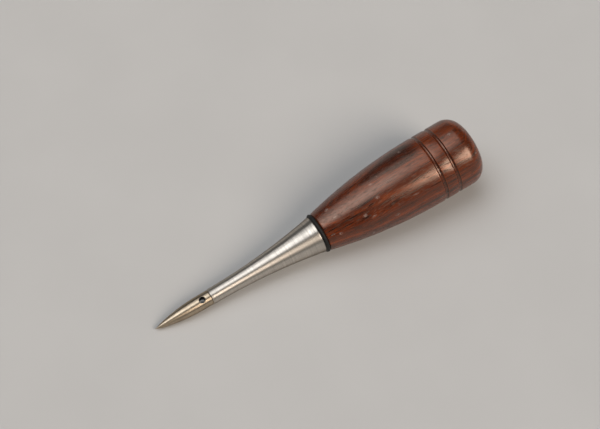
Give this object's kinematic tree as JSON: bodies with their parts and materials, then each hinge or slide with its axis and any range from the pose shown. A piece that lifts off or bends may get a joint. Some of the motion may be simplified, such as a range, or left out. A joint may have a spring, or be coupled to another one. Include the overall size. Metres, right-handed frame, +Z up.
{
  "type": "bradawl",
  "caption": "Bradawl with a screw-in curved point, a flared steel shank, a rubber ring and a turned hardwood handle with grooves near the butt, for pricking starter holes in wood.",
  "frame": {"origin": "on the surface that the tool lies on, under the middle of its box", "axes": "+X along the surface from the point towards the butt, +Z up, the tool's axis in the XZ plane and raised towards the butt"},
  "size_m": [0.1526, 0.03, 0.0329],
  "materials": {
    "tool_steel": "ground hardened steel with a warm tint",
    "satin_steel": "satin turned stainless steel",
    "black_rubber": "matte black rubber",
    "stud_steel": "bright rolled thread",
    "brass": "turned brass",
    "hardwood": "oiled dark red hardwood, satin sheen"
  },
  "bodies": {
    "point": {"point": "tool_steel"},
    "ring": {"rubber_ring": "black_rubber"},
    "shank": {"shank": "satin_steel", "handle_stud": "stud_steel"},
    "handle": {"handle": "hardwood", "threaded_insert": "brass"}
  },
  "joints": [
    {"name": "point_travel", "type": "slide", "parent": "point", "child": "ring", "axis": [0.9934, 0, 0.1146], "range_m": [0, 0.00715]},
    {"name": "point_turn", "type": "hinge", "parent": "ring", "child": "shank", "pos_m": [-0.0505, 0, 0.00422], "axis": [0.9934, 0, 0.1146], "range_deg": [0, 3240]},
    {"name": "handle_off", "type": "slide", "parent": "shank", "child": "handle", "axis": [0.9934, 0, 0.1146], "range_m": [0, 0.0135]}
  ],
  "couplings": [
    {"joint": "point_travel", "follows": "point_turn", "m_per_rad": 0.00012637}
  ]
}
